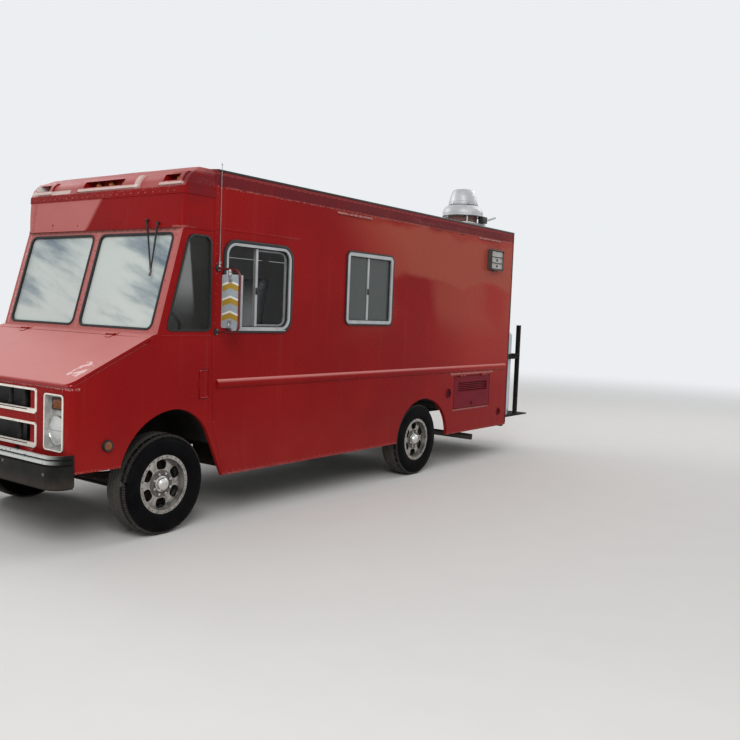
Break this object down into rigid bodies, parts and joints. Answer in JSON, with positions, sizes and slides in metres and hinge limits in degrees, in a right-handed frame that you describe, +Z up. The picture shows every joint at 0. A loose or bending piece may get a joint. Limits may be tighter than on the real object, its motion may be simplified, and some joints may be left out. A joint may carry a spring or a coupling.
{
  "type": "food truck",
  "caption": "Steel step van food truck with a sloping hood, side entry door, serving hatch with shelf, rear door, roof fan and rear deck with a gas cylinder.",
  "frame": {"origin": "centre of the bounding box in X and Y, on the ground under the truck", "axes": "+Z up; the front faces -Y; +X is the truck's left side, where the driver sits"},
  "size_m": [2.474, 6.933, 3.2319],
  "materials": {
    "red_paint": "gloss",
    "faded_red": "satin",
    "maroon_paint": "satin",
    "black_paint": "satin",
    "chassis_black": "matte",
    "cast_steel": "matte",
    "cream_paint": "satin",
    "argent_paint": "satin",
    "aluminium": "satin",
    "white_paint": "gloss",
    "galvanised": "satin",
    "window_glass": "gloss",
    "lamp_glass": "gloss",
    "amber": "gloss",
    "red_lens": "gloss",
    "tyre_rubber": "matte",
    "black_plastic": "matte",
    "vinyl": "satin",
    "white_lining": "matte",
    "floor_sheet": "satin"
  },
  "bodies": {
    "truck_body": {"nose_shell": "red_paint", "cab_front": "red_paint", "header_panel": "red_paint", "roof_cap": "faded_red", "cab_floor": "chassis_black", "left_side_panel": "red_paint", "right_side_panel": "red_paint", "rear_wall": "red_paint", "roof_panel": "white_lining", "floor": "floor_sheet", "entry_step": "floor_sheet", "side_locker": "galvanised", "chassis_frame": "chassis_black", "front_axle": "cast_steel", "rear_axle": "cast_steel", "leaf_springs": "cast_steel", "engine_block": "cast_steel", "radiator": "black_plastic", "drive_shaft": "cast_steel", "exhaust": "cast_steel", "fuel_tank": "chassis_black", "front_bumper": "black_paint", "grille": "cream_paint", "headlamp_bezels": "argent_paint", "headlamps": "lamp_glass", "marker_lamps": "amber", "tail_lamps": "red_lens", "window_glass": "window_glass", "window_frames": "aluminium", "rub_rails": "red_paint", "dashboard": "black_plastic", "engine_cover": "black_plastic", "driver_seat": "vinyl", "steering_column": "black_plastic", "mirrors": "white_paint", "antenna": "aluminium", "wiper_arm": "black_paint", "flood_light": "galvanised", "roof_fan": "galvanised", "rear_deck": "black_paint", "gas_cylinder": "white_paint"},
    "hood": {"hood": "faded_red"},
    "sliding_door": {"sliding_door": "red_paint", "sliding_door_glass": "window_glass"},
    "rear_door": {"rear_door": "red_paint"},
    "serving_hatch": {"serving_hatch": "red_paint"},
    "serving_shelf": {"serving_shelf": "aluminium"},
    "generator_door": {"generator_door": "maroon_paint"},
    "fuel_door": {"fuel_door": "red_paint"},
    "knuckle_left": {"knuckle_left": "cast_steel"},
    "knuckle_right": {"knuckle_right": "cast_steel"},
    "steering_wheel": {"steering_wheel": "black_plastic"},
    "wheel_front_left": {"tyre_front_left": "tyre_rubber", "wheel_front_left": "aluminium"},
    "wheel_front_right": {"tyre_front_right": "tyre_rubber", "wheel_front_right": "aluminium"},
    "wheel_rear_left": {"tyre_rear_left": "tyre_rubber", "wheel_rear_left": "aluminium"},
    "wheel_rear_right": {"tyre_rear_right": "tyre_rubber", "wheel_rear_right": "aluminium"}
  },
  "joints": [
    {"name": "steer_left", "type": "hinge", "parent": "truck_body", "child": "knuckle_left", "pos_m": [0.73, -2.5165, 0.375], "axis": [0, 0, 1], "range_deg": [-32, 32]},
    {"name": "steer_right", "type": "hinge", "parent": "truck_body", "child": "knuckle_right", "pos_m": [-0.73, -2.5165, 0.375], "axis": [0, 0, 1], "range_deg": [-32, 32]},
    {"name": "steering_wheel_turn", "type": "hinge", "parent": "truck_body", "child": "steering_wheel", "pos_m": [0.52, -2.3015, 1.6], "axis": [0, 0.6157, 0.788], "range_deg": [-540, 540]},
    {"name": "spin_front_left", "type": "hinge", "parent": "knuckle_left", "child": "wheel_front_left", "pos_m": [0.86, -2.5165, 0.375], "axis": [1, 0, 0], "continuous": true},
    {"name": "spin_rear_left", "type": "hinge", "parent": "truck_body", "child": "wheel_rear_left", "pos_m": [0.86, 0.8615, 0.375], "axis": [1, 0, 0], "continuous": true},
    {"name": "spin_front_right", "type": "hinge", "parent": "knuckle_right", "child": "wheel_front_right", "pos_m": [-0.86, -2.5165, 0.375], "axis": [1, 0, 0], "continuous": true},
    {"name": "spin_rear_right", "type": "hinge", "parent": "truck_body", "child": "wheel_rear_right", "pos_m": [-0.86, 0.8615, 0.375], "axis": [1, 0, 0], "continuous": true},
    {"name": "hood_lift", "type": "hinge", "parent": "truck_body", "child": "hood", "pos_m": [0, -2.71787, 1.46581], "axis": [-1, 0, 0], "range_deg": [0, 60]},
    {"name": "sliding_door_slide", "type": "slide", "parent": "truck_body", "child": "sliding_door", "axis": [0, 1, 0], "range_m": [0, 0.7]},
    {"name": "rear_door_swing", "type": "hinge", "parent": "truck_body", "child": "rear_door", "pos_m": [-0.7975, 2.8255, 1.566], "axis": [0, 0, 1], "range_deg": [0, 100]},
    {"name": "hatch_lift", "type": "hinge", "parent": "truck_body", "child": "serving_hatch", "pos_m": [-0.997, 0.5335, 2.2325], "axis": [0, 1, 0], "range_deg": [0, 95]},
    {"name": "shelf_raise", "type": "hinge", "parent": "truck_body", "child": "serving_shelf", "pos_m": [-0.997, 0.5335, 1.408], "axis": [0, 1, 0], "range_deg": [0, 90]},
    {"name": "generator_door_lift", "type": "hinge", "parent": "truck_body", "child": "generator_door", "pos_m": [0.997, 1.9535, 1.0175], "axis": [0, -1, 0], "range_deg": [0, 90]},
    {"name": "fuel_door_swing", "type": "hinge", "parent": "truck_body", "child": "fuel_door", "pos_m": [0.992, -2.232, 1.103], "axis": [0, 0, -1], "range_deg": [0, 90]}
  ],
  "couplings": [
    {"joint": "steer_right", "follows": "steer_left", "ratio": 1},
    {"joint": "steering_wheel_turn", "follows": "steer_left", "ratio": 16.875}
  ]
}
